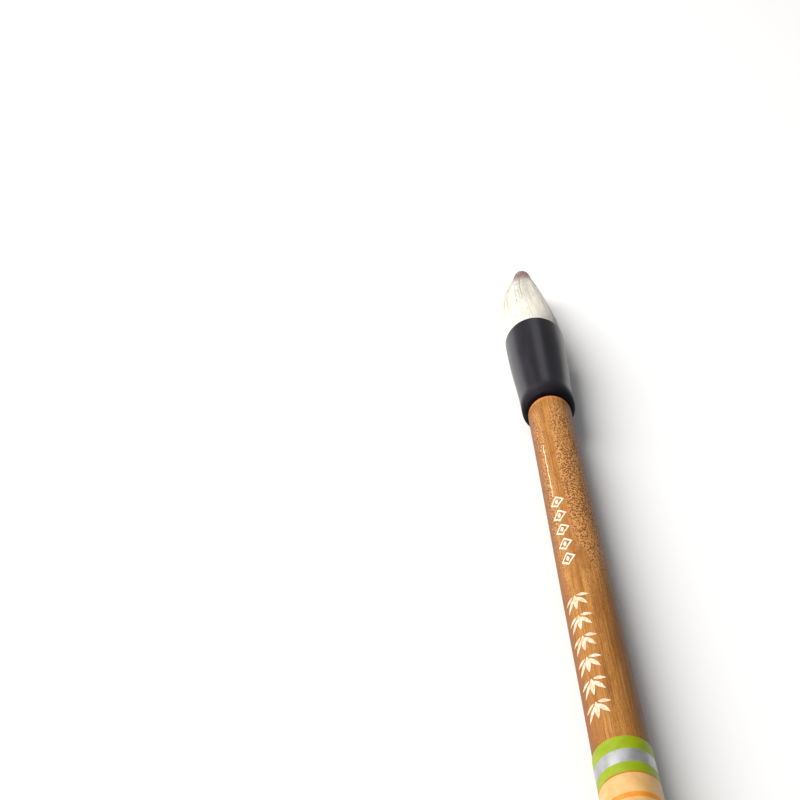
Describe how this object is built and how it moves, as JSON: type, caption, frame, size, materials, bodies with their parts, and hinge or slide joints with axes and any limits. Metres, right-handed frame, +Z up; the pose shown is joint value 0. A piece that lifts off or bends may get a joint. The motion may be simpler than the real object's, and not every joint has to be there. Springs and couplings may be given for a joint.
{
  "type": "calligraphy brush",
  "caption": "Calligraphy brush with a lacquered bamboo handle, flared black ferrule, white hair tuft over a brown core, wrapped label and tail cap.",
  "frame": {"origin": "on the surface the brush lies on, under the middle of its length", "axes": "+Y along the brush's axis towards the tip of the hair, +Z up, +X to the right when looking from the tail to the tip"},
  "size_m": [0.0124, 0.26, 0.0125],
  "materials": {
    "bamboo": "lacquered",
    "black_plastic": "satin",
    "dowel_wood": "raw",
    "label_film": "printed film",
    "resin": "glossy",
    "thread": "waxed thread",
    "white_hair": "goat hair",
    "brown_hair": "stiff brown hair"
  },
  "bodies": {
    "handle": {"bamboo_handle": "bamboo", "ferrule": "black_plastic", "tail_cap": "black_plastic", "joining_dowel": "dowel_wood", "label_wrap": "label_film", "root_resin": "resin", "binding_thread": "thread", "cover_hair_root": "white_hair", "core_hair_root": "brown_hair"},
    "tuft_middle": {"cover_hair_middle": "white_hair", "core_hair_middle": "brown_hair"},
    "tuft_tip": {"cover_hair_tip": "white_hair", "core_hair_tip": "brown_hair"}
  },
  "joints": [
    {"name": "tuft_bend", "type": "hinge", "parent": "handle", "child": "tuft_middle", "pos_m": [0, 0.103, 0.00624], "axis": [1, 0, 0], "range_deg": [-30, 30], "stiffness_Nm_per_rad": 0.02},
    {"name": "tip_bend", "type": "hinge", "parent": "tuft_middle", "child": "tuft_tip", "pos_m": [0, 0.115, 0.00624], "axis": [1, 0, 0], "range_deg": [-40, 40], "stiffness_Nm_per_rad": 0.008}
  ]
}
